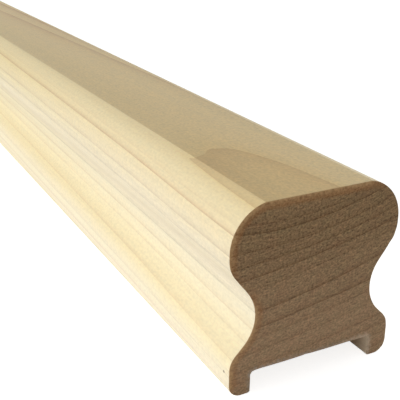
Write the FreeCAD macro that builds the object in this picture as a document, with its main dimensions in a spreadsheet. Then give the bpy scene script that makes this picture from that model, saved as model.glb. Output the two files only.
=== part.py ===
# Softwood stair handrail: one straight length of timber, moulded to one section.
#
# The rail lies along Y with its mid-length at Y = 0. Its section is in the XZ plane and is the same on both
# sides of X = 0. Z = 0 is the level of the two soles, on which the rail stands. Between its two legs runs the
# groove that takes the tops of the spindles.
import FreeCAD, Part
import math
import os
import Sketcher

NODE = "handrail"

# Driving dimensions in millimetres: alias, value, what it measures
DIMENSIONS = [
    ("rail_length", 2400, "length of the rail"),
    ("groove_width", 42, "width of the spindle groove"),
    ("groove_depth", 7, "depth of the spindle groove"),
    ("groove_corner_radius", 1.5, "round in each inner corner of the groove"),
    ("lip_radius", 0.8, "eased edge between groove wall and sole"),
    ("leg_width", 7, "thickness of each leg beside the groove"),
    ("toe_radius", 4, "round between sole and foot side"),
    ("foot_side", 4.8, "upright flat on the side of the foot"),
    ("foot_radius", 6.8, "round on top of the foot side"),
    ("flare_run", 3.3, "straight slope from foot up to cove"),
    ("waist_inset", 8, "waist set back from the foot side"),
    ("cove_radius", 12.7, "hollow at the waist"),
    ("neck_run", 6.3, "straight slope from cove up to head"),
    ("head_overhang", 8.5, "head side set out from the waist"),
    ("under_radius", 10, "round under the head"),
    ("head_side", 1.5, "upright flat on the side of the head"),
    ("shoulder_radius", 13.6, "round between head side and top"),
    ("crown_planed", 0.3, "top planed flat below the crown of the shoulder rounds"),
]

# Places of a stroke's two ends and of an arc's centre, as the sketch numbers them
START, END, CENTRE = range(1, 4)
# The sketch's own origin
ORIGIN = (-1, START)

QUARTER = math.pi / 2
# The toe round takes at most this share of the leg's width beside the lip, so that a flat sole is left
TOE_SHARE = 0.9
SKETCH_NORMAL = FreeCAD.Vector(0, 0, 1)


def make_sheet(doc):
    """Writes the driving dimensions into a sheet named Sizes, one row each."""
    sheet = doc.addObject("Spreadsheet::Sheet", "Sizes")
    for row, (alias, value, meaning) in enumerate(DIMENSIONS, start=1):
        sheet.set(f"A{row}", alias)
        sheet.set(f"B{row}", str(value))
        sheet.set(f"C{row}", meaning)
        sheet.setAlias(f"B{row}", alias)
    doc.recompute()
    return sheet


def slope_angle(round_radii, straight_run, set_back):
    """Angle off upright of a straight run between two opposite rounds that together step out by set_back."""
    reach = math.hypot(round_radii, straight_run)
    return math.acos((round_radii - set_back) / reach) - math.atan2(straight_run, round_radii)


class Outline:
    """Draws an outline in a sketch, stroke after stroke, each tangent to the one before but at a crease."""

    def __init__(self, sketch, start):
        self.sketch = sketch
        self.point = start
        self.heading = 0.0
        self.strokes = {}
        self.last = None
        self.joint = "Tangent"

    def crease(self, angle):
        """Turns the heading on the spot, so that the next stroke only meets the one before."""
        self.heading += angle
        self.joint = "Coincident"

    def line(self, name, length):
        """A straight stroke along the present heading."""
        end = self.point + FreeCAD.Vector(math.cos(self.heading), math.sin(self.heading), 0) * length
        self._add(name, Part.LineSegment(self.point, end), START, END)
        self.point = end

    def turn(self, name, radius, angle):
        """A round stroke that turns the heading by an angle, to the left where it is positive."""
        side = math.copysign(1, angle)
        spoke_start = self.heading - side * QUARTER
        spoke_end = spoke_start + angle
        centre = self.point - FreeCAD.Vector(math.cos(spoke_start), math.sin(spoke_start), 0) * radius
        circle = Part.Circle(centre, SKETCH_NORMAL, radius)
        if side > 0:
            self._add(name, Part.ArcOfCircle(circle, spoke_start, spoke_end), START, END)
        else:
            self._add(name, Part.ArcOfCircle(circle, spoke_end, spoke_start), END, START)
        self.point = centre + FreeCAD.Vector(math.cos(spoke_end), math.sin(spoke_end), 0) * radius
        self.heading += angle

    def _add(self, name, geometry, first_place, last_place):
        index = self.sketch.addGeometry(geometry, False)
        if self.last:
            self.sketch.addConstraint(Sketcher.Constraint(self.joint, *self.last, index, first_place))
        self.strokes[name] = index
        self.last = (index, last_place)
        self.joint = "Tangent"


def draw_half_section(sketch, size):
    """The right half of the section, from the middle of the groove's ceiling round to the top's middle."""
    foot_slope = slope_angle(size.cove_radius + size.foot_radius, size.flare_run, size.waist_inset)
    neck_slope = slope_angle(size.cove_radius + size.under_radius, size.neck_run, size.head_overhang)
    crown_angle = math.acos(1 - size.crown_planed / size.shoulder_radius)
    toe_radius = min(size.toe_radius, TOE_SHARE * (size.leg_width - size.lip_radius))
    half_groove = size.groove_width / 2

    outline = Outline(sketch, FreeCAD.Vector(0, size.groove_depth, 0))
    outline.line("ceiling", half_groove - size.groove_corner_radius)
    outline.turn("groove_corner", size.groove_corner_radius, -QUARTER)
    outline.line("groove_wall", size.groove_depth - size.groove_corner_radius - size.lip_radius)
    outline.turn("lip", size.lip_radius, QUARTER)
    outline.line("sole", size.leg_width - size.lip_radius - toe_radius)
    outline.turn("toe", toe_radius, QUARTER)
    outline.line("foot_side", size.foot_side)
    outline.turn("foot", size.foot_radius, foot_slope)
    outline.line("flare", size.flare_run)
    outline.turn("cove", size.cove_radius, -foot_slope - neck_slope)
    outline.line("neck", size.neck_run)
    outline.turn("under", size.under_radius, neck_slope)
    outline.line("head_side", size.head_side)
    outline.turn("shoulder", size.shoulder_radius, QUARTER - crown_angle)
    outline.crease(crown_angle)
    outline.line("top", outline.point.x)

    top_middle = outline.point
    ceiling_middle = FreeCAD.Vector(0, size.groove_depth, 0)
    middle = sketch.addGeometry(Part.LineSegment(top_middle, ceiling_middle), False)
    strokes = outline.strokes
    sketch.addConstraint(Sketcher.Constraint("Coincident", *outline.last, middle, START))
    sketch.addConstraint(Sketcher.Constraint("Coincident", middle, END, strokes["ceiling"], START))
    sketch.addConstraint(Sketcher.Constraint("Vertical", *ORIGIN, middle, START))
    sketch.addConstraint(Sketcher.Constraint("Horizontal", *ORIGIN, strokes["sole"], START))
    for name in ("ceiling", "sole", "top"):
        sketch.addConstraint(Sketcher.Constraint("Horizontal", strokes[name]))
    for index in (strokes["groove_wall"], strokes["foot_side"], strokes["head_side"], middle):
        sketch.addConstraint(Sketcher.Constraint("Vertical", index))
    return strokes


def bind(sketch, name, formula, kind, *places):
    """Adds a dimension to the sketch and ties it to a formula of the sheet's cells."""
    start_value = sketch.evalExpression(formula)
    index = sketch.addConstraint(Sketcher.Constraint(kind, *places, float(start_value)))
    sketch.renameConstraint(index, name)
    sketch.setExpression(f"Constraints.{name}", formula)


def dimension_half_section(sketch, strokes):
    """Binds every size of the half section to the sheet."""
    for name in ("groove_corner", "lip", "foot", "cove", "under", "shoulder"):
        bind(sketch, f"{name}_radius", f"Sizes.{name}_radius", "Radius", strokes[name])
    toe_limit = f"{TOE_SHARE} * (Sizes.leg_width - Sizes.lip_radius)"
    bind(sketch, "toe_radius", f"min(Sizes.toe_radius; {toe_limit})", "Radius", strokes["toe"])
    for name in ("flare", "neck"):
        bind(sketch, f"{name}_run", f"Sizes.{name}_run", "Distance", strokes[name])
    for name in ("foot_side", "head_side"):
        bind(sketch, name, f"Sizes.{name}", "Distance", strokes[name])

    ceiling = (strokes["ceiling"], START)
    groove_wall = (strokes["groove_wall"], START)
    foot_side = (strokes["foot_side"], START)
    cove_centre = (strokes["cove"], CENTRE)
    head_side = (strokes["head_side"], START)
    shoulder_centre = (strokes["shoulder"], CENTRE)
    top = (strokes["top"], START)
    half_waist = "Sizes.groove_width / 2 + Sizes.leg_width - Sizes.waist_inset"
    top_rise = "Sizes.shoulder_radius - Sizes.crown_planed"
    bind(sketch, "groove_depth", "Sizes.groove_depth", "DistanceY", *ORIGIN, *ceiling)
    bind(sketch, "half_groove", "Sizes.groove_width / 2", "DistanceX", *ORIGIN, *groove_wall)
    bind(sketch, "leg_width", "Sizes.leg_width", "DistanceX", *groove_wall, *foot_side)
    bind(sketch, "cove_reach", f"{half_waist} + Sizes.cove_radius", "DistanceX", *ORIGIN, *cove_centre)
    bind(sketch, "half_head", f"{half_waist} + Sizes.head_overhang", "DistanceX", *ORIGIN, *head_side)
    bind(sketch, "top_rise", top_rise, "DistanceY", *shoulder_centre, *top)


def origin_plane(body, role):
    """The origin plane of a body that has the given role."""
    return next(feature for feature in body.Origin.OriginFeatures if feature.Role == role)


def make_handrail(doc, size):
    """The rail: half the section, drawn out along the rail's length and mirrored at X = 0."""
    body = doc.addObject("PartDesign::Body", "Handrail")
    body.Label = NODE
    body.Placement = FreeCAD.Placement()

    sketch = body.newObject("Sketcher::SketchObject", "HalfSection")
    sketch.AttachmentSupport = (origin_plane(body, "XZ_Plane"), [""])
    sketch.MapMode = "FlatFace"
    strokes = draw_half_section(sketch, size)
    dimension_half_section(sketch, strokes)
    doc.recompute()

    pad = body.newObject("PartDesign::Pad", "HalfRail")
    pad.Profile = (sketch, [""])
    pad.SideType = "Symmetric"
    pad.setExpression("Length", "Sizes.rail_length")
    doc.recompute()

    mirrored = body.newObject("PartDesign::Mirrored", "WholeRail")
    mirrored.Originals = [pad]
    mirrored.MirrorPlane = (origin_plane(body, "YZ_Plane"), [""])
    mirrored.Refine = True
    body.Tip = mirrored
    doc.recompute()
    return body, sketch


def check_document(doc):
    """Stops where any object of the document failed to compute."""
    for item in doc.Objects:
        faults = {"Invalid", "Error"} & set(item.State)
        if faults:
            raise RuntimeError(f"{item.Label} is {', '.join(sorted(faults))}")


def check_handrail(body, sketch):
    """Stops where the section is not settled or the rail is not one valid solid."""
    if sketch.solve() != 0 or not sketch.FullyConstrained:
        raise RuntimeError("the half section is not settled by its sizes")
    if body.Shape.isNull() or not body.Shape.isValid() or len(body.Shape.Solids) != 1:
        raise RuntimeError("the rail is not one valid solid")


def main():
    doc = FreeCAD.newDocument("StairHandrail")
    size = make_sheet(doc)
    body, sketch = make_handrail(doc, size)
    check_document(doc)
    check_handrail(body, sketch)

    os.makedirs("parts", exist_ok=True)
    body.Shape.exportStep(f"parts/{body.Label}.step")
    box = body.Shape.BoundBox
    print(f"{body.Label}: {box.XLength:.2f} x {box.YLength:.2f} x {box.ZLength:.2f} mm,"
          f" {len(body.Shape.Faces)} faces, {body.Shape.Volume / 1e6:.4f} litres")


main()
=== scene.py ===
"""Stair handrail length: a planed pine rail with one sawn end towards the camera, on a plain pale floor.

The rail is swept finely from the section's own sizes, with eased, slightly torn end edges. Its wood is one
procedural material: growth rings that climb along the rail, fibre along it and speckled grain on its ends.
Lengths are in millimetres unless a comment says metres. Object space is the part's own frame.
"""
from collections import namedtuple
import math
import random

import bpy
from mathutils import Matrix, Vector
from mathutils.geometry import delaunay_2d_cdt


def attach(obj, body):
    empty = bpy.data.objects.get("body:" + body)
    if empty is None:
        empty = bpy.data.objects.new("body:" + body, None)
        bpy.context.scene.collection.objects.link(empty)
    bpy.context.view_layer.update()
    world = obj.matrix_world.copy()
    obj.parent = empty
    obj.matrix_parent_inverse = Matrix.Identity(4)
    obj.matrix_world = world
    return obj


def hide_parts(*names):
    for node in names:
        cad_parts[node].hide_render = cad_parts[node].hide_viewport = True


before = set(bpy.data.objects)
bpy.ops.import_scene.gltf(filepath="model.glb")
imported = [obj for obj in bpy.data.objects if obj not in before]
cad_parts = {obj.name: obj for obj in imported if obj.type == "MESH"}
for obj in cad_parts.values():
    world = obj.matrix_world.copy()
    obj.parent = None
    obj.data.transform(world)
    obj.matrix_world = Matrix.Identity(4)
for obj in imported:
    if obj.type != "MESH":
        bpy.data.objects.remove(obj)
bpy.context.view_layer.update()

MM = 0.001
QUARTER = math.pi / 2

# The section, as the part's source has it
RAIL_LENGTH = 2400
HALF_GROOVE = 21
GROOVE_DEPTH = 7
GROOVE_CORNER_RADIUS = 1.5
LIP_RADIUS = 0.8
LEG_WIDTH = 7
TOE_RADIUS = 4
FOOT_SIDE = 4.8
FOOT_RADIUS = 6.8
FLARE_RUN = 3.3
WAIST_INSET = 8
COVE_RADIUS = 12.7
NECK_RUN = 6.3
HEAD_OVERHANG = 8.5
UNDER_RADIUS = 10
HEAD_SIDE = 1.5
SHOULDER_RADIUS = 13.6
CROWN_PLANED = 0.3
NEAR_Y = -RAIL_LENGTH / 2

# Steps of the mesh, round the section, along the rail and over the sawn ends
ARC_STEP = math.radians(6)
ARC_STEPS_LEAST = 3
LINE_STEP = 2.0
END_STEPS = (0.8, 1.2, 2, 3, 5, 8, 12, 18)
MIDDLE_STEPS = 90
ARRIS_STEPS = 3
ARRIS_TURNS = [QUARTER * step / ARRIS_STEPS for step in range(ARRIS_STEPS + 1)]
CAP_SPACING = 0.8
CAP_MARGIN = 0.9
WELD = 1e-5

# The sawn ends' edges: how far they are eased, in waves and with torn fibres. A tear's width is in outline
# points.
ARRIS_EASE = 0.11
ARRIS_LEAST = 0.06
ARRIS_MOST = 0.45
WAVE_COUNT = 8
WAVE_DEPTHS = (0.01, 0.025)
WAVE_TURNS = (5, 40)
TEAR_COUNT = 16
TEAR_DEPTHS = (0.1, 0.3)
TEAR_WIDTHS = (0.5, 1.2)

# The rim of the sawn ends, a painted glow at the top and left and, in the groove, partly torn fibre and
# partly painted highlight: its width, its share on the eased edge, and its tone in the groove
RIM_WIDTH = 3.2
RIM_ON_ARRIS = 0.4
GROOVE_RIM_LEAST = 0.76
GROOVE_RIM_FULL_AT = 17

SEED = 484

# The bake layout: the long faces in one strip, the two ends side by side above it
STRIP_CORNER = 0.01
STRIP_WIDTH = 0.98
STRIP_HEIGHT = 0.72
END_CELL = 0.23
END_CORNERS = ((0.02, 0.755), (0.31, 0.755))
END_SPAN = 60


def slope_angle(round_radii, straight_run, set_back):
    """Angle off upright of a straight run between two opposite rounds that step out by set_back."""
    reach = math.hypot(round_radii, straight_run)
    return math.acos((round_radii - set_back) / reach) - math.atan2(straight_run, round_radii)


class OutlinePoint:
    """A point of the section: its place, outward direction, and whether it is a crease or in the groove."""

    def __init__(self, x, z, out_x, out_z, crease, groove):
        self.x, self.z = x, z
        self.out_x, self.out_z = out_x, out_z
        self.crease = crease
        self.groove = groove

    def mirrored(self):
        return OutlinePoint(-self.x, self.z, -self.out_x, self.out_z, self.crease, self.groove)

    def rim_tone(self):
        """Tone of the sawn end's edge: above 0, pale, in the groove, partly torn fibre and partly painted
        highlight; below 0, brown, at the top and left, a painted glow of light through the lit edges.
        """
        if self.groove:
            return min(1.0, max(GROOVE_RIM_LEAST, self.x / GROOVE_RIM_FULL_AT))
        return -min(1.0, max(0.0, self.out_z - self.out_x))


class Pen:
    """Walks round half the section and drops points on the way. The wood is on its left."""

    def __init__(self, x, z):
        self.x, self.z = x, z
        self.heading = 0.0
        self.in_groove = True
        self.points = [self.point()]

    def point(self, crease=False):
        out_x, out_z = math.sin(self.heading), -math.cos(self.heading)
        return OutlinePoint(self.x, self.z, out_x, out_z, crease, self.in_groove)

    def step(self, length):
        self.x += math.cos(self.heading) * length
        self.z += math.sin(self.heading) * length

    def line(self, length):
        count = max(1, math.ceil(length / LINE_STEP))
        for _ in range(count):
            self.step(length / count)
            self.points.append(self.point())

    def turn(self, radius, angle):
        count = max(ARC_STEPS_LEAST, math.ceil(abs(angle) / ARC_STEP))
        half_turn = angle / count / 2
        chord = 2 * radius * math.sin(abs(half_turn))
        for _ in range(count):
            self.heading += half_turn
            self.step(chord)
            self.heading += half_turn
            self.points.append(self.point())

    def crease(self, angle):
        self.heading += angle / 2
        self.points[-1] = self.point(crease=True)
        self.heading += angle / 2


def section_outline():
    """The whole section as a closed loop, from the middle of the groove's ceiling round by the right side."""
    foot_slope = slope_angle(COVE_RADIUS + FOOT_RADIUS, FLARE_RUN, WAIST_INSET)
    neck_slope = slope_angle(COVE_RADIUS + UNDER_RADIUS, NECK_RUN, HEAD_OVERHANG)
    crown_angle = math.acos(1 - CROWN_PLANED / SHOULDER_RADIUS)
    pen = Pen(0, GROOVE_DEPTH)
    pen.line(HALF_GROOVE - GROOVE_CORNER_RADIUS)
    pen.turn(GROOVE_CORNER_RADIUS, -QUARTER)
    pen.line(GROOVE_DEPTH - GROOVE_CORNER_RADIUS - LIP_RADIUS)
    pen.turn(LIP_RADIUS, QUARTER)
    pen.in_groove = False
    pen.line(LEG_WIDTH - LIP_RADIUS - TOE_RADIUS)
    pen.turn(TOE_RADIUS, QUARTER)
    pen.line(FOOT_SIDE)
    pen.turn(FOOT_RADIUS, foot_slope)
    pen.line(FLARE_RUN)
    pen.turn(COVE_RADIUS, -foot_slope - neck_slope)
    pen.line(NECK_RUN)
    pen.turn(UNDER_RADIUS, neck_slope)
    pen.line(HEAD_SIDE)
    pen.turn(SHOULDER_RADIUS, QUARTER - crown_angle)
    pen.crease(crown_angle)
    pen.line(pen.x)
    right = pen.points
    left = [point.mirrored() for point in reversed(right[1:-1])]
    return right + left


def arris_sizes(count, rng):
    """How far a sawn end's edge is eased at each outline point: small, uneven, with a few torn fibres."""
    waves = []
    for _ in range(WAVE_COUNT):
        waves.append((rng.uniform(*WAVE_DEPTHS), rng.randint(*WAVE_TURNS), rng.uniform(0, math.tau)))
    tears = []
    for _ in range(TEAR_COUNT):
        tears.append((rng.randrange(count), rng.uniform(*TEAR_DEPTHS), rng.uniform(*TEAR_WIDTHS)))
    sizes = []
    for index in range(count):
        size = ARRIS_EASE
        for depth, turns, phase in waves:
            size += depth * math.sin(turns * math.tau * index / count + phase)
        for place, depth, width in tears:
            away = min(abs(index - place), count - abs(index - place))
            size += depth * math.exp(-(away / width) ** 2)
        sizes.append(min(ARRIS_MOST, max(ARRIS_LEAST, size)))
    return sizes


def stations():
    """Places along the rail between the two eased ends, close together near the ends."""
    from_end = []
    reach = 0.0
    for step in END_STEPS:
        reach += step
        from_end.append(reach)
    run = RAIL_LENGTH - 2 * reach
    middle = [reach + run * step / MIDDLE_STEPS for step in range(1, MIDDLE_STEPS)]
    return from_end + middle + [RAIL_LENGTH - place for place in reversed(from_end)]


def nearest_point(x, z, outline):
    """The outline point nearest to a place in the section, and its distance."""
    nearest = min(outline, key=lambda point: (point.x - x) ** 2 + (point.z - z) ** 2)
    return nearest, math.hypot(nearest.x - x, nearest.z - z)


def inside(x, z, outline):
    """Whether a place lies within the section."""
    result = False
    previous = outline[-1]
    for point in outline:
        if (point.z > z) != (previous.z > z):
            cross = point.x + (z - point.z) * (previous.x - point.x) / (previous.z - point.z)
            if x < cross:
                result = not result
        previous = point
    return result


def cap_grid(outline):
    """Places in the middle of a sawn end, in a staggered grid, each with its rim value."""
    grid = []
    top = max(point.z for point in outline)
    side = max(point.x for point in outline)
    row_rise = CAP_SPACING * math.sqrt(0.75)
    for row in range(math.ceil(top / row_rise)):
        z = row * row_rise
        for column in range(math.ceil(2 * side / CAP_SPACING)):
            x = -side + CAP_SPACING * (column + row % 2 / 2)
            if not inside(x, z, outline):
                continue
            nearest, away = nearest_point(x, z, outline)
            if away > CAP_MARGIN:
                grid.append((x, z, nearest.rim_tone() * max(0.0, 1 - away / RIM_WIDTH)))
    return grid


class RailMesh:
    """Collects the rail's vertices, faces, rim values and bake layout."""

    def __init__(self):
        self.outline = section_outline()
        self.count = len(self.outline)
        self.places = []
        self.rim = []
        self.faces = []
        self.layout = []
        self.smooth = []
        self.walk = [0.0]
        for here, there in zip(self.outline, self.outline[1:] + self.outline[:1]):
            self.walk.append(self.walk[-1] + math.hypot(there.x - here.x, there.z - here.z))

    def add_loop(self, y, inset, rim):
        """One closed loop of vertices: per-point values give its place along the rail and its set-back."""
        start = len(self.places)
        for point, at, back, edge in zip(self.outline, y, inset, rim):
            self.places.append((point.x - point.out_x * back, at, point.z - point.out_z * back))
            self.rim.append(edge)
        return start

    def add_arris(self, end_y, inward, eases):
        """The loops of a rounded end edge, from the sawn end to the long faces."""
        loops = []
        for turn in ARRIS_TURNS:
            y = [end_y + inward * ease * (1 - math.cos(turn)) for ease in eases]
            inset = [ease * (1 - math.sin(turn)) for ease in eases]
            fade = 1 - (1 - RIM_ON_ARRIS) * turn / QUARTER
            loops.append(self.add_loop(y, inset, [point.rim_tone() * fade for point in self.outline]))
        return loops

    def strip_place(self, step, y):
        return (STRIP_CORNER + STRIP_WIDTH * (y - NEAR_Y) / RAIL_LENGTH,
                STRIP_CORNER + STRIP_HEIGHT * self.walk[step] / self.walk[-1])

    def add_band(self, near, far):
        """Quads between two neighbouring loops."""
        for step in range(self.count):
            after = (step + 1) % self.count
            corners = [(near + step, step), (far + step, step),
                       (far + after, step + 1), (near + after, step + 1)]
            self.faces.append([vertex for vertex, _ in corners])
            self.layout.append([self.strip_place(at, self.places[vertex][1]) for vertex, at in corners])
            self.smooth.append(True)

    def add_cap(self, loop, y, corner, flipped):
        """A sawn end: triangles between its edge and a grid of places within."""
        grid = cap_grid(self.outline)
        edge = [Vector((x, z)) for x, _, z in self.places[loop:loop + self.count]]
        within = [Vector((x, z)) for x, z, _ in grid]
        sides = [(index, (index + 1) % self.count) for index in range(self.count)]
        border = list(range(self.count))
        points, _, triangles, sources, _, _ = delaunay_2d_cdt(edge + within, sides, [border], 1, WELD)
        vertices = []
        for place, source in zip(points, sources):
            if source[0] < self.count:
                vertices.append(loop + source[0])
                continue
            vertices.append(len(self.places))
            self.places.append((place.x, y, place.y))
            self.rim.append(grid[source[0] - self.count][2])
        for triangle in triangles:
            face = [vertices[index] for index in triangle]
            if flipped:
                face.reverse()
            self.faces.append(face)
            self.layout.append([self.cell_place(corner, vertex) for vertex in face])
            self.smooth.append(False)

    def cell_place(self, corner, vertex):
        x, _, z = self.places[vertex]
        return (corner[0] + END_CELL * (x / END_SPAN + 0.5), corner[1] + END_CELL * z / END_SPAN)

    def build(self, name):
        rng = random.Random(SEED)
        near_eases = arris_sizes(self.count, rng)
        far_eases = arris_sizes(self.count, rng)
        still = [0.0] * self.count
        loops = self.add_arris(NEAR_Y, 1, near_eases)
        for reach in stations():
            loops.append(self.add_loop([NEAR_Y + reach] * self.count, still, still))
        loops += reversed(self.add_arris(-NEAR_Y, -1, far_eases))
        for near, far in zip(loops, loops[1:]):
            self.add_band(near, far)
        self.add_cap(loops[0], NEAR_Y, END_CORNERS[0], flipped=False)
        self.add_cap(loops[-1], -NEAR_Y, END_CORNERS[1], flipped=True)
        return self.make_object(name, loops)

    def make_object(self, name, loops):
        mesh = bpy.data.meshes.new(name)
        mesh.from_pydata([[value * MM for value in place] for place in self.places], [], self.faces)
        mesh.polygons.foreach_set("use_smooth", self.smooth)
        rim = mesh.attributes.new("rim", "FLOAT", "POINT")
        rim.data.foreach_set("value", self.rim)
        layout = mesh.uv_layers.new(name="OFBake")
        layout.data.foreach_set("uv", [value for face in self.layout for place in face for value in place])
        creases = set()
        for step, point in enumerate(self.outline):
            if point.crease:
                creases |= {frozenset((near + step, far + step)) for near, far in zip(loops, loops[1:])}
        for edge in mesh.edges:
            edge.use_edge_sharp = frozenset(edge.vertices) in creases
        mesh.validate()
        rail = bpy.data.objects.new(name, mesh)
        bpy.context.scene.collection.objects.link(rail)
        return rail


class Field:
    """A value that varies over the surface: a socket of the node tree, with arithmetic."""

    tree = None

    def __init__(self, socket):
        self.socket = socket

    @classmethod
    def node(cls, kind, **settings):
        node = cls.tree.nodes.new(kind)
        for key, value in settings.items():
            setattr(node, key, value)
        return node

    @classmethod
    def put(cls, socket, value):
        if isinstance(value, Field):
            cls.tree.links.new(value.socket, socket)
        else:
            socket.default_value = value

    @classmethod
    def math(cls, operation, *values):
        node = cls.node("ShaderNodeMath", operation=operation)
        for socket, value in zip(node.inputs, values):
            cls.put(socket, value)
        return cls(node.outputs[0])

    def __add__(self, other):
        return Field.math("ADD", self, other)

    def __radd__(self, other):
        return Field.math("ADD", other, self)

    def __sub__(self, other):
        return Field.math("SUBTRACT", self, other)

    def __rsub__(self, other):
        return Field.math("SUBTRACT", other, self)

    def __mul__(self, other):
        return Field.math("MULTIPLY", self, other)

    def __rmul__(self, other):
        return Field.math("MULTIPLY", other, self)

    def __truediv__(self, other):
        return Field.math("DIVIDE", self, other)

    def __abs__(self):
        return Field.math("ABSOLUTE", self)

    def fade(self, length):
        """Falls from 1 towards 0 as the value grows, by a factor e over the length."""
        return Field.math("EXPONENT", self * (-1 / length))


def smooth_step(value, low, high):
    """0 below low, 1 above high, smooth between."""
    node = Field.node("ShaderNodeMapRange", interpolation_type="SMOOTHSTEP")
    Field.put(node.inputs["Value"], value)
    node.inputs["From Min"].default_value = low
    node.inputs["From Max"].default_value = high
    return Field(node.outputs["Result"])


def vector(x, y, z):
    node = Field.node("ShaderNodeCombineXYZ")
    for socket, value in zip(node.inputs, (x, y, z)):
        Field.put(socket, value)
    return Field(node.outputs[0])


def components(value):
    node = Field.node("ShaderNodeSeparateXYZ")
    Field.put(node.inputs[0], value)
    return [Field(socket) for socket in node.outputs]


def noise(x, y, z, detail=2.0, roughness=0.5):
    """Smooth noise about 0, within -1 and 1, in patches about one unit across."""
    node = Field.node("ShaderNodeTexNoise")
    Field.put(node.inputs["Vector"], vector(x, y, z))
    node.inputs["Scale"].default_value = 1.0
    node.inputs["Detail"].default_value = detail
    node.inputs["Roughness"].default_value = roughness
    return (Field(node.outputs["Fac"]) - 0.5) * 2.0


def grain(place, texture):
    """Noise in patches of a texture's width and length."""
    x, y, z = place
    across, along = texture.across, texture.along
    return noise(x / across, y / along, z / across, texture.detail, texture.roughness)


def speckle(x, depth, height, texture):
    """Noise over a sawn end, in patches of a texture's width and height."""
    return noise(x / texture.wide, depth, height / texture.high, roughness=texture.roughness)


def ramp(value, stops, interpolation):
    """A colour ramp over 0 to 1."""
    node = Field.node("ShaderNodeValToRGB")
    Field.put(node.inputs["Fac"], value)
    band = node.color_ramp
    band.interpolation = interpolation
    while len(band.elements) < len(stops):
        band.elements.new(0.5)
    for element, (at, colour) in zip(band.elements, stops):
        element.position = at
        element.color = (*colour, 1)
    return Field(node.outputs["Color"])


# Places of a mix node's colour sockets
MIX_SHARE, MIX_FIRST, MIX_SECOND = 0, 6, 7
MIX_RESULT = 2


def blend(share, first, second, mode="MIX"):
    """Mixes two colours."""
    node = Field.node("ShaderNodeMix", data_type="RGBA", blend_type=mode)
    Field.put(node.inputs[MIX_SHARE], share)
    Field.put(node.inputs[MIX_FIRST], first)
    Field.put(node.inputs[MIX_SECOND], second)
    return Field(node.outputs[MIX_RESULT])


def tinted(colour, tint):
    """A colour multiplied by another."""
    return blend(1.0, colour, tint, "MULTIPLY")


def lit(colour, light):
    """A colour made lighter or darker by a factor."""
    return tinted(colour, vector(light, light, light))


def tone(red, green, blue):
    """A colour given in sRGB values of 0 to 255, as the shader takes it."""
    def open_up(value):
        value /= 255
        return value / 12.92 if value <= 0.04045 else ((value + 0.055) / 1.055) ** 2.4
    return (open_up(red), open_up(green), open_up(blue), 1)


# Growth rings from the top down. A ring's level is the height at which its lower edge meets the left of the
# near end. On the planed sides it has a soft band and a thin line above that edge, from brown at 0 to grey
# at 1. On the sawn ends, and more faintly on the top, its line has the strength called sawn.
Ring = namedtuple("Ring", "level band line grey sawn")
RINGS = [
    Ring(73.0, 0.10, 0.25, 0.0, 0.4),
    Ring(67.5, 0.06, 0.15, 0.0, 0.4),
    Ring(62.4, 0.08, 0.25, 0.0, 0.5),
    Ring(57.8, 0.04, 0.30, 0.0, 0.5),
    Ring(52.2, 0.05, 0.08, 0.0, 0.7),
    Ring(49.8, 0.04, 0.50, 0.0, 1.0),
    Ring(44.6, 0.08, 0.34, 0.5, 0.8),
    Ring(40.6, 0.10, 0.36, 0.9, 0.85),
    Ring(36.6, 0.00, 0.03, 0.9, 1.0),
    Ring(33.0, 0.00, 0.00, 0.9, 0.4),
    Ring(25.7, 0.18, 0.34, 0.9, 1.0),
    Ring(20.5, 0.04, 0.34, 0.2, 1.0),
    Ring(17.1, 0.03, 0.20, 0.2, 0.5),
    Ring(12.8, 0.03, 0.22, 0.0, 0.45),
    Ring(7.7, 0.06, 0.18, 0.4, 0.55),
    Ring(4.2, 0.03, 0.28, 0.2, 0.6),
    Ring(1.2, 0.10, 0.12, 0.1, 0.6),
    Ring(-2.8, 0.06, 0.14, 0.2, 0.6),
    Ring(-6.7, 0.06, 0.18, 0.1, 0.6),
    Ring(-11.0, 0.06, 0.14, 0.2, 0.6),
    Ring(-15.5, 0.06, 0.14, 0.2, 0.6),
]
TOP_LEVEL = 80.0
BOTTOM_LEVEL = -20.0
RING_COUNT = len(RINGS) + 1
WIDEST_RING = 20.0
LINE_FADE = 0.55
BAND_FADE = 1.8

# How a ring lies in the section: its slope where it meets the left side, and its bend from there
Lie = namedtuple("Lie", "level slope bend")
LIES = [
    Lie(-20.0, 0.095, 0.0015),
    Lie(8.0, 0.095, 0.0015),
    Lie(20.0, 0.105, 0.0025),
    Lie(26.0, 0.095, 0.005),
    Lie(37.0, 0.110, 0.003),
    Lie(45.0, 0.000, 0.0075),
    Lie(50.0, -0.075, 0.011),
    Lie(58.0, -0.054, 0.006),
    Lie(80.0, -0.054, 0.006),
]
STEEPEST = 0.25
SHARPEST_BEND = 0.05
RING_LEFT = -20.0

# Textures along the rail, by the width and length of their patches and their strength
Texture = namedtuple("Texture", "across along strength detail roughness", defaults=(2.0, 0.5))

# The rings' course along the rail: they climb and drift in long waves, wobble and tremble, and rise quickly
# where one arches over the top. Outside the left crease they sit a little higher than on the planed top.
CLIMB = 5.6
CLIMB_WAVE = 2600
ARCH_RISE = 0.6
ARCH_REACH = (15.0, 80.0)
DRIFT = 3.0
DRIFT_WAVE = 2100
WOBBLE = Texture(16.0, 240.0, 0.4, detail=1.0)
TREMBLE = Texture(4.0, 70.0, 0.04)
CREASE_LIFT = 0.45
CREASE_LIFT_HEIGHTS = (55.0, 57.0)
CREASE_LIFT_REACH = (17.5, 19.5)
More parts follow.
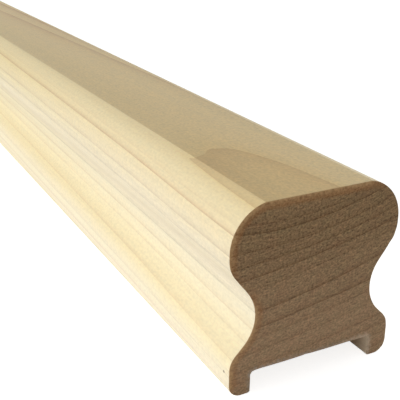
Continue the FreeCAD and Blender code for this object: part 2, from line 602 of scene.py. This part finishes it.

# Tone of the planed wood from the foot up, at ring levels. The lowest zones are partly painted shade, kept
# darker against light bounced up from the floor onto the toe; the zones on the shoulder below the crease are
# partly painted light.
Zone = namedtuple("Zone", "level tone")
ZONES = [
    Zone(-20.0, tone(243, 231, 201)),
    Zone(1.5, tone(245, 234, 206)),
    Zone(4.0, tone(249, 238, 211)),
    Zone(8.0, tone(250, 238, 208)),
    Zone(12.5, tone(253, 237, 194)),
    Zone(15.5, tone(255, 240, 199)),
    Zone(19.0, tone(251, 238, 202)),
    Zone(26.0, tone(241, 231, 204)),
    Zone(29.0, tone(243, 232, 208)),
    Zone(34.0, tone(239, 228, 205)),
    Zone(42.0, tone(246, 233, 203)),
    Zone(50.0, tone(247, 229, 187)),
    Zone(55.0, tone(252, 234, 188)),
    Zone(57.2, tone(255, 234, 184)),
    Zone(57.8, tone(254, 230, 174)),
    Zone(80.0, tone(254, 230, 174)),
]
BROWN_LATEWOOD = tone(172, 114, 60)
GREY_LATEWOOD = tone(174, 165, 143)
# The top's tints are painted shade: they darken and brown the flat top, a little more at its left.
TOP_PAINTED_SHADE = (0.87, 0.81, 0.72, 1)
TOP_LEFT_PAINTED_SHADE = (0.81, 0.76, 0.665, 1)
AGED_TINT = (0.88, 0.86, 0.74, 1)
WARM_TINT = (1.008, 0.997, 0.983, 1)
COOL_TINT = (0.992, 1.003, 1.017, 1)
# The groove's tint is painted shade: it darkens the groove between the legs. GROOVE_END_TINT is the
# near-plain tone close to each end, where that painted shade fades out.
GROOVE_PAINTED_SHADE = (0.48, 0.37, 0.285, 1)
GROOVE_END_TINT = (1.05, 0.96, 0.94, 1)

# Textures that lighten and darken the planed faces. Hairs and flecks show as far as a ring is grey, blushes
# lighten the top and turn the hue everywhere, and breaks interrupt the rings' lines.
FIBRE = Texture(0.7, 42.0, 0.06, detail=3.0, roughness=0.6)
FUZZ = Texture(0.8, 1.3, 0.13)
TOP_FUZZ = 0.1
THREAD = Texture(1.3, 320.0, 0.05)
HAIR = Texture(0.8, 15.0, 0.14, detail=3.0, roughness=0.65)
FLECK = Texture(0.45, 0.8, 0.1)
STREAK = Texture(3.5, 180.0, 0.025)
BLUSH = Texture(2.4, 5.0, 0.07)
CLOUD = Texture(22.0, 90.0, 0.02)
BREAKS = Texture(9.0, 26.0, 0.5)
LINE_STRENGTH = 0.8
TOP_LINE_STRENGTH = 0.6

# The wood ages in waves along the rail, all levels a little and some fully; in the same waves, painted shade
# darkens some levels lower down
AGE_AND_SHADE_WAVE = 620
AGED_LEAST = 0.4
AGED_FROM = (36.0, 44.0)
AGED_UP_TO = (50.0, 54.0)
PAINTED_SHADE_FROM = (13.0, 15.0)
PAINTED_SHADE_UP_TO = (23.0, 25.0)
PAINTED_SHADE_DEPTH = 0.09

# Where the painted shade of the top and of the groove lies: by the way faced, across, past the groove and
# from an end
TOP_FACING = (0.98, 0.995)
TOP_PAINTED_SHADE_REACH = (-16.0, 6.0)
GROOVE_MARGIN = (0.1, 0.3)
GROOVE_END_REACH = (0.0, 7.0)

# Roughness of the planed faces and its variation, and their relief
PLANED_ROUGHNESS = 0.56
STREAK_ROUGHNESS = 0.04
FIBRE_ROUGHNESS = 0.05
FIBRE_RELIEF = 0.012
FUZZ_RELIEF = 0.006
LATEWOOD_RELIEF = 0.01

# Tones of the sawn ends, towards the top and towards the foot, and of their edges. The paler foot is painted
# light, standing in for light bounced up from the floor.
SAWN_HIGH = tone(164, 133, 96)
SAWN_LOW = tone(192, 158, 123)
SAWN_LATEWOOD_TINT = (0.55, 0.48, 0.42, 1)
SAWN_RED_TINT = (1.035, 0.98, 0.975, 1)
SAWN_OLIVE_TINT = (0.965, 1.02, 1.0, 1)
# Rim tones: the brown and red are painted glow of light through the lit edges; the grey and pale are partly
# torn fibre and partly painted highlight.
BROWN_RIM_GLOW = tone(234, 192, 138)
RED_RIM_GLOW = tone(189, 116, 52)
GREY_RIM = tone(193, 187, 176)
PALE_RIM = tone(239, 216, 188)
SAWN_TONE_HEIGHTS = (8.0, 54.0)

# Textures of the sawn ends, by the width and height of their patches and their strength. Dashes, patches and
# blushes lie along the rings. The marks of the fibre are coarser towards the top.
Speckle = namedtuple("Speckle", "wide high strength roughness", defaults=(0.5,))
DASH = Speckle(2.2, 0.45, 0.7, roughness=0.6)
SPECK = Speckle(0.7, 0.7, 1.05, roughness=0.7)
PATCH = Speckle(16.0, 5.0, 0.12)
SAWN_BLUSH = Speckle(4.5, 3.0, 1.0)
FRAY = Speckle(1.1, 1.1, 0.9, roughness=0.6)
SAWN_DEPTH = 3.0
COARSENESS_LOW = 0.78
COARSENESS_GAIN = 0.42
COARSENESS_HEIGHTS = (14.0, 50.0)
SAWN_LINE = 0.6
SAWN_BAND = 0.4

# Rims of the sawn ends: the most of each tone, the rim values over which it comes in, and where the groove's
# rim turns from grey to pale
RED_RIM_GLOW_MOST = 0.3
RED_RIM_GLOW_RANGE = (0.0, 0.45)
BROWN_RIM_GLOW_MOST = 0.65
BROWN_RIM_GLOW_RANGE = (0.4, 1.0)
GROOVE_RIM_MOST = 0.7
GROOVE_RIM_RANGE = (0.3, 1.05)
PALE_RIM_REACH = (4.0, 18.0)

# Roughness of the sawn ends and its variation, and their relief
SAWN_ROUGHNESS = 0.82
SPECK_ROUGHNESS = 0.05
DASH_RELIEF = 0.05
SPECK_RELIEF = 0.03
SAWN_LATEWOOD_RELIEF = -0.02

# The surface counts as sawn as it turns to face along the rail
SAWN_FACING = (0.35, 0.8)
WOOD_SPECULAR = 0.3

# A pin speck on the left foot, close to the near end
PIN_PLACE = (-28.0, 3.0, 7.4)
PIN_TONE = tone(92, 66, 44)
PIN_REACH = (0.25, 0.55)
PIN_STRENGTH = 0.75
PIN_DEPTH = 0.05


def level_share(level):
    """A level as a share of the way from the lowest to the highest."""
    return (level - BOTTOM_LEVEL) / (TOP_LEVEL - BOTTOM_LEVEL)


def ring_level(guess, height, across):
    """Level of the ring through a point, from a guess at it, the point's height and its reach across."""
    stops = []
    for lie in LIES:
        shape = (0.5 + lie.slope / STEEPEST / 2, lie.bend / SHARPEST_BEND, 0)
        stops.append((level_share(lie.level), shape))
    slope, bend, _ = components(ramp(level_share(guess), stops, "LINEAR"))
    slope = (slope - 0.5) * (STEEPEST * 2)
    return height - slope * across - bend * (SHARPEST_BEND / 2) * across * across


class RingField:
    """The rings through the rail: a point's level, its ring's looks, and its nearness to that ring's edge."""

    def __init__(self, place):
        x, along, z = place
        climb = CLIMB * Field.math("SINE", along * (math.tau / CLIMB_WAVE))
        climb = climb + ARCH_RISE * smooth_step(along, *ARCH_REACH)
        drift = DRIFT - DRIFT * Field.math("COSINE", along * (math.tau / DRIFT_WAVE))
        wobble = WOBBLE.strength * grain(place, WOBBLE)
        tremble = TREMBLE.strength * grain(place, TREMBLE)
        outside = smooth_step(z, *CREASE_LIFT_HEIGHTS) * smooth_step(x * -1.0, *CREASE_LIFT_REACH)
        height = z - climb + wobble + tremble + CREASE_LIFT * outside
        across = x - RING_LEFT - drift
        self.level = ring_level(ring_level(height, height, across), height, across)
        self.share = level_share(self.level)

        # Which ring the point is in, and how far it is above that ring's lower edge
        edges = [BOTTOM_LEVEL] + [ring.level for ring in reversed(RINGS)] + [TOP_LEVEL]
        counts = [(level_share(edge), (index / RING_COUNT,) * 3) for index, edge in enumerate(edges)]
        turns = components(ramp(self.share, counts, "LINEAR"))[0] * float(RING_COUNT)
        key = (Field.math("FLOOR", turns) + 0.5) / float(RING_COUNT)
        planed_looks = []
        sawn_looks = []
        for index, ring in enumerate([RINGS[-1]] + RINGS[::-1]):
            width = edges[index + 1] - edges[index]
            planed_looks.append((index / RING_COUNT, (ring.band, ring.line, ring.grey)))
            sawn_looks.append((index / RING_COUNT, (ring.sawn, width / WIDEST_RING, 0)))
        self.band, self.line, self.grey = components(ramp(key, planed_looks, "CONSTANT"))
        self.sawn, width, _ = components(ramp(key, sawn_looks, "CONSTANT"))
        to_edge = Field.math("FRACT", turns) * width * WIDEST_RING
        self.near_edge = to_edge.fade(LINE_FADE)
        self.toward_edge = to_edge.fade(BAND_FADE)


class Wood:
    """One kind of surface of the wood: its colour, its roughness and its relief in millimetres."""

    def __init__(self, colour, roughness, relief):
        self.colour = colour
        self.roughness = roughness
        self.relief = relief


def planed_wood(place, rings, facing_up):
    """The long faces: tones and lines of the rings, fibre along the rail, and painted shade that makes the
    top darker and browner and the groove dark.
    """
    x, along, z = place
    fibre = grain(place, FIBRE)
    fuzz = grain(place, FUZZ)
    thread = grain(place, THREAD)
    hair = grain(place, HAIR)
    fleck = grain(place, FLECK)
    streak = grain(place, STREAK)
    blush = grain(place, BLUSH)
    cloud = grain(place, CLOUD)
    breaks = LINE_STRENGTH + BREAKS.strength * grain(place, BREAKS)
    ageing_and_shade = 0.5 - 0.5 * Field.math("COSINE", along * (math.tau / AGE_AND_SHADE_WAVE))
    aged_levels = smooth_step(rings.level, *AGED_FROM) - smooth_step(rings.level, *AGED_UP_TO)
    # Painted shade: some lower levels darker in the same long waves along the rail.
    painted_shade_levels = smooth_step(rings.level, *PAINTED_SHADE_FROM) - smooth_step(rings.level, *PAINTED_SHADE_UP_TO)
    aged = ageing_and_shade * (AGED_LEAST + (1.0 - AGED_LEAST) * aged_levels)
    painted_shade = ageing_and_shade * painted_shade_levels

    on_top = smooth_step(facing_up, *TOP_FACING)
    line = rings.line + on_top * (TOP_LINE_STRENGTH * rings.sawn - rings.line)
    late = rings.band * rings.toward_edge + line * rings.near_edge * breaks
    late_tone = blend(rings.grey, BROWN_LATEWOOD, GREY_LATEWOOD)
    colour = ramp(rings.share, [(level_share(zone.level), zone.tone[:3]) for zone in ZONES], "LINEAR")
    colour = blend(late, colour, late_tone)
    light = 1.0 + FIBRE.strength * fibre + (FUZZ.strength + TOP_FUZZ * on_top) * fuzz
    light = light + rings.grey * (FLECK.strength * fleck + HAIR.strength * hair)
    light = light + BLUSH.strength * on_top * blush + THREAD.strength * thread
    # The last term darkens those lower levels by painted shade.
    light = light + STREAK.strength * streak + CLOUD.strength * cloud - PAINTED_SHADE_DEPTH * painted_shade
    colour = tinted(lit(colour, light), blend(0.5 + blush, COOL_TINT, WARM_TINT))

    # Painted shade in the groove between the legs: darker, fading out close to each end; it is applied below.
    low_down = 1.0 - smooth_step(z - GROOVE_DEPTH, *GROOVE_MARGIN)
    between_legs = 1.0 - smooth_step(abs(x) - HALF_GROOVE, *GROOVE_MARGIN)
    # Painted shade on the flat top: darker and browner, a little more at its left; it is applied below.
    top_painted_shade = blend(smooth_step(x, *TOP_PAINTED_SHADE_REACH), TOP_LEFT_PAINTED_SHADE, TOP_PAINTED_SHADE)
    from_end = Field.math("MINIMUM", along, RAIL_LENGTH - along)
    groove_painted_shade = blend(smooth_step(from_end, *GROOVE_END_REACH), GROOVE_END_TINT, GROOVE_PAINTED_SHADE)
    side_colour = blend(aged, colour, AGED_TINT, "MULTIPLY")
    colour = blend(on_top, side_colour, tinted(colour, top_painted_shade))
    colour = blend(low_down * between_legs, colour, groove_painted_shade, "MULTIPLY")
    roughness = PLANED_ROUGHNESS + STREAK_ROUGHNESS * streak + FIBRE_ROUGHNESS * fibre
    relief = FIBRE_RELIEF * fibre + FUZZ_RELIEF * fuzz + LATEWOOD_RELIEF * late
    return Wood(colour, roughness, relief)


def sawn_wood(place, rings):
    """The ends: dashes and specks of cut fibre, brown ring lines, and an edge that is brown or pale: a
    painted brown glow at the top and left, and a pale groove edge that is partly torn fibre and partly
    painted highlight.
    """
    x, along, z = place
    depth = along / SAWN_DEPTH
    dash = speckle(x, depth, rings.level, DASH)
    speck = speckle(x, depth, z, SPECK)
    patch = speckle(x, depth, rings.level, PATCH)
    blush = speckle(x, depth, rings.level, SAWN_BLUSH)
    late = rings.sawn * (SAWN_LINE * rings.near_edge + SAWN_BAND * rings.toward_edge)
    # Painted light: the sawn end paler towards the foot, for light bounced up from the floor.
    colour = blend(smooth_step(z, *SAWN_TONE_HEIGHTS), SAWN_LOW, SAWN_HIGH)
    coarseness = COARSENESS_LOW + COARSENESS_GAIN * smooth_step(z, *COARSENESS_HEIGHTS)
    marks = (DASH.strength * dash + SPECK.strength * speck) * coarseness
    colour = lit(colour, 1.0 + marks + PATCH.strength * patch)
    colour = tinted(colour, blend(0.5 + SAWN_BLUSH.strength * blush, SAWN_OLIVE_TINT, SAWN_RED_TINT))
    colour = blend(late, colour, SAWN_LATEWOOD_TINT, "MULTIPLY")

    fray = speckle(x, depth, z, FRAY)
    rim = Field(Field.node("ShaderNodeAttribute", attribute_name="rim").outputs["Fac"])
    rim = rim * (1.0 + FRAY.strength * fray)
    # Painted glow: the red and brown rim at the top and left edges stands in for light shining through the
    # lit edges.
    rim_glow = rim * -1.0
    colour = blend(RED_RIM_GLOW_MOST * smooth_step(rim_glow, *RED_RIM_GLOW_RANGE), colour, RED_RIM_GLOW)
    colour = blend(BROWN_RIM_GLOW_MOST * smooth_step(rim_glow, *BROWN_RIM_GLOW_RANGE), colour, BROWN_RIM_GLOW)
    # The groove's rim is partly torn fibre and partly painted highlight, palest at the right.
    groove_rim_fibre_and_highlight = blend(smooth_step(x, *PALE_RIM_REACH), GREY_RIM, PALE_RIM)
    colour = blend(GROOVE_RIM_MOST * smooth_step(rim, *GROOVE_RIM_RANGE), colour, groove_rim_fibre_and_highlight)
    roughness = SAWN_ROUGHNESS + SPECK_ROUGHNESS * speck
    relief = DASH_RELIEF * dash + SPECK_RELIEF * speck + SAWN_LATEWOOD_RELIEF * late
    return Wood(colour, roughness, relief)


def pine_material():
    """Planed pine with sawn ends, chosen between by the way that the surface faces."""
    material = bpy.data.materials.new("pine")
    material.use_nodes = True
    Field.tree = material.node_tree
    shader = material.node_tree.nodes["Principled BSDF"]

    metres = Field(Field.node("ShaderNodeTexCoord").outputs["Object"])
    x, y, z = (value * (1 / MM) for value in components(metres))
    place = (x, y - NEAR_Y, z)
    normal = Field(Field.node("ShaderNodeNewGeometry").outputs["Normal"])
    _, facing_along, facing_up = components(normal)
    rings = RingField(place)
    planed = planed_wood(place, rings, facing_up)
    sawn = sawn_wood(place, rings)
    share = smooth_step(abs(facing_along), *SAWN_FACING)

    reach = Field.node("ShaderNodeVectorMath", operation="DISTANCE")
    Field.put(reach.inputs[0], vector(*place))
    reach.inputs[1].default_value = PIN_PLACE
    pin = 1.0 - smooth_step(Field(reach.outputs["Value"]), *PIN_REACH)

    colour = blend(PIN_STRENGTH * pin, blend(share, planed.colour, sawn.colour), PIN_TONE)
    relief = planed.relief + share * (sawn.relief - planed.relief) - PIN_DEPTH * pin
    Field.put(shader.inputs["Base Color"], colour)
    Field.put(shader.inputs["Roughness"], planed.roughness + share * (sawn.roughness - planed.roughness))
    shader.inputs["Specular IOR Level"].default_value = WOOD_SPECULAR
    bump = Field.node("ShaderNodeBump")
    bump.inputs["Distance"].default_value = MM
    Field.put(bump.inputs["Height"], relief)
    Field.tree.links.new(bump.outputs["Normal"], shader.inputs["Normal"])
    return material


# Soft lamps far off, each in the direction away, with its spread in degrees
Lamp = namedtuple("Lamp", "name away strength spread")
LAMPS = [
    Lamp("key", (-0.95, 0.22, 0.21), 2.05, 30),
    Lamp("fill", (0.92, 0.35, 0.05), 1.6, 30),
]

# Floor and backdrop. The floor's size is in metres.
WHITE = (1, 1, 1, 1)
AMBIENT = 0.34
BACKDROP = 1.1
FLOOR_COLOUR = (0.82, 0.82, 0.81, 1)
FLOOR_ROUGHNESS = 0.9
FLOOR_GLOW = 0.8
FLOOR_SIZE = 40.0

# The camera, with its turn in degrees
CAMERA_LENS = 70.1
CAMERA_NEAREST = 10
CAMERA_PLACE = (-120.46, NEAR_Y - 160.33, 134.73)
CAMERA_TURN = (68.247, -0.065, -27.401)


def make_lamp(lamp):
    light = bpy.data.lights.new(lamp.name, "SUN")
    light.energy = lamp.strength
    light.angle = math.radians(lamp.spread)
    holder = bpy.data.objects.new(lamp.name, light)
    holder.rotation_euler = Vector(lamp.away).to_track_quat("Z", "Y").to_euler()
    bpy.context.scene.collection.objects.link(holder)


def seen_directly(tree):
    """1 where the camera, or a mirror or glass, sees the surface; 0 for the light that it gives off."""
    Field.tree = tree
    path = Field.node("ShaderNodeLightPath")
    camera, glossy, transmission = (Field(path.outputs[f"Is {kind} Ray"])
                                    for kind in ("Camera", "Glossy", "Transmission"))
    return Field.math("MAXIMUM", Field.math("MAXIMUM", camera, glossy), transmission)


def make_world():
    world = bpy.data.worlds.new("studio")
    bpy.context.scene.world = world
    world.use_nodes = True
    background = world.node_tree.nodes["Background"]
    background.inputs["Color"].default_value = WHITE
    seen = seen_directly(world.node_tree)
    Field.put(background.inputs["Strength"], AMBIENT + (BACKDROP - AMBIENT) * seen)


def make_floor():
    """A pale floor that reads white to the camera and keeps the rail's soft shadow."""
    half = FLOOR_SIZE / 2
    mesh = bpy.data.meshes.new("floor")
    corners = [(-half, -half, 0), (half, -half, 0), (half, half, 0), (-half, half, 0)]
    mesh.from_pydata(corners, [], [(0, 1, 2, 3)])
    floor = bpy.data.objects.new("floor", mesh)
    bpy.context.scene.collection.objects.link(floor)
    material = bpy.data.materials.new("floor")
    material.use_nodes = True
    shader = material.node_tree.nodes["Principled BSDF"]
    shader.inputs["Base Color"].default_value = FLOOR_COLOUR
    shader.inputs["Roughness"].default_value = FLOOR_ROUGHNESS
    shader.inputs["Specular IOR Level"].default_value = 0.0
    shader.inputs["Emission Color"].default_value = WHITE
    Field.put(shader.inputs["Emission Strength"], FLOOR_GLOW * seen_directly(material.node_tree))
    mesh.materials.append(material)


def make_camera():
    """A camera at the photo's place, close to the sawn end and looking along the rail from its left."""
    lens = bpy.data.cameras.new("camera")
    lens.lens = CAMERA_LENS
    lens.clip_start = CAMERA_NEAREST * MM
    camera = bpy.data.objects.new("camera", lens)
    camera.location = [value * MM for value in CAMERA_PLACE]
    camera.rotation_euler = [math.radians(angle) for angle in CAMERA_TURN]
    bpy.context.scene.collection.objects.link(camera)
    bpy.context.scene.camera = camera


rail = RailMesh().build("pine_rail")
rail.data.materials.append(pine_material())
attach(rail, "root")
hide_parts("handrail")

make_floor()
make_world()
for lamp in LAMPS:
    make_lamp(lamp)
make_camera()
bpy.context.scene.view_settings.view_transform = "Standard"
